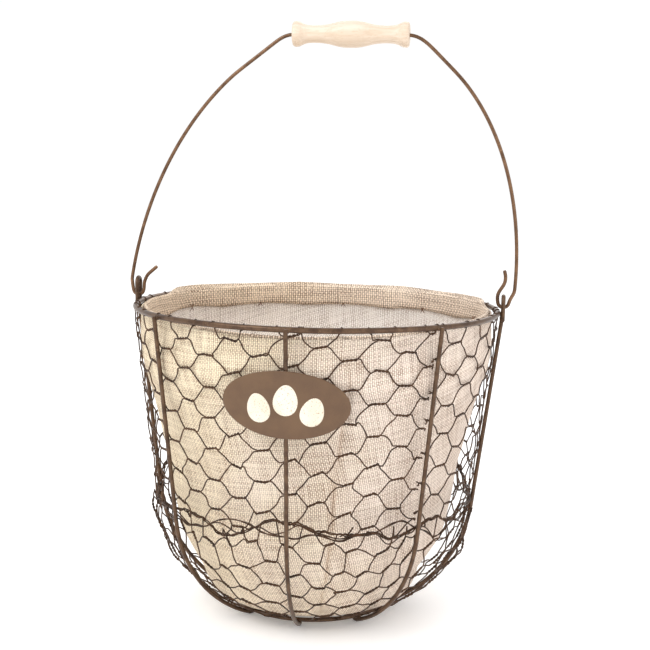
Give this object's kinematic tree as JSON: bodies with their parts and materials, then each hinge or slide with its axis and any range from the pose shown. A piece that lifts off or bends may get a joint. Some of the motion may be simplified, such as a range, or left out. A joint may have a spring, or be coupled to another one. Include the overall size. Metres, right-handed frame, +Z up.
{
  "type": "egg collection basket",
  "caption": "Round wire basket with hexagonal netting, burlap liner, oval plaque and a swinging bail with a turned wooden grip, for collecting eggs.",
  "frame": {"origin": "middle of the footprint, on the plane that the rib ends stand on", "axes": "+Z up, +X along the bail's hinge line to the right ear, plaque facing -Y"},
  "size_m": [0.3049, 0.291, 0.4559],
  "materials": {
    "bronze_wire": "antique bronze coat, satin, slightly uneven",
    "netting_wire": "dark brown coat, satin",
    "bail_wire": "brown coat with coppery highlights, satin",
    "pale_wood": "turned pale hardwood, unvarnished",
    "brown_plaque": "brown paint, satin, with pale egg ovals",
    "burlap": "plain open weave burlap, natural",
    "burlap_hem": "folded double burlap, a little darker"
  },
  "bodies": {
    "basket": {"rim_ring": "bronze_wire", "base_ring": "bronze_wire", "rib_front": "bronze_wire", "rib_front_right": "bronze_wire", "rib_right": "bronze_wire", "rib_back_right": "bronze_wire", "rib_back": "bronze_wire", "rib_back_left": "bronze_wire", "rib_left": "bronze_wire", "rib_front_left": "bronze_wire", "ear_left": "bronze_wire", "ear_right": "bronze_wire", "side_netting": "netting_wire", "bottom_netting": "netting_wire", "netting_lacing": "netting_wire", "plaque": "brown_plaque", "liner_wall": "burlap", "liner_base": "burlap", "liner_hem": "burlap_hem"},
    "bail": {"bail": "bail_wire"},
    "grip": {"grip": "pale_wood"}
  },
  "joints": [
    {"name": "bail_swing", "type": "hinge", "parent": "basket", "child": "bail", "pos_m": [0, 0, 0.2423], "axis": [1, 0, 0], "range_deg": [-90, 90]},
    {"name": "grip_spin", "type": "hinge", "parent": "bail", "child": "grip", "pos_m": [0.0218, 0, 0.4459], "axis": [1, 0, 0], "continuous": true}
  ]
}
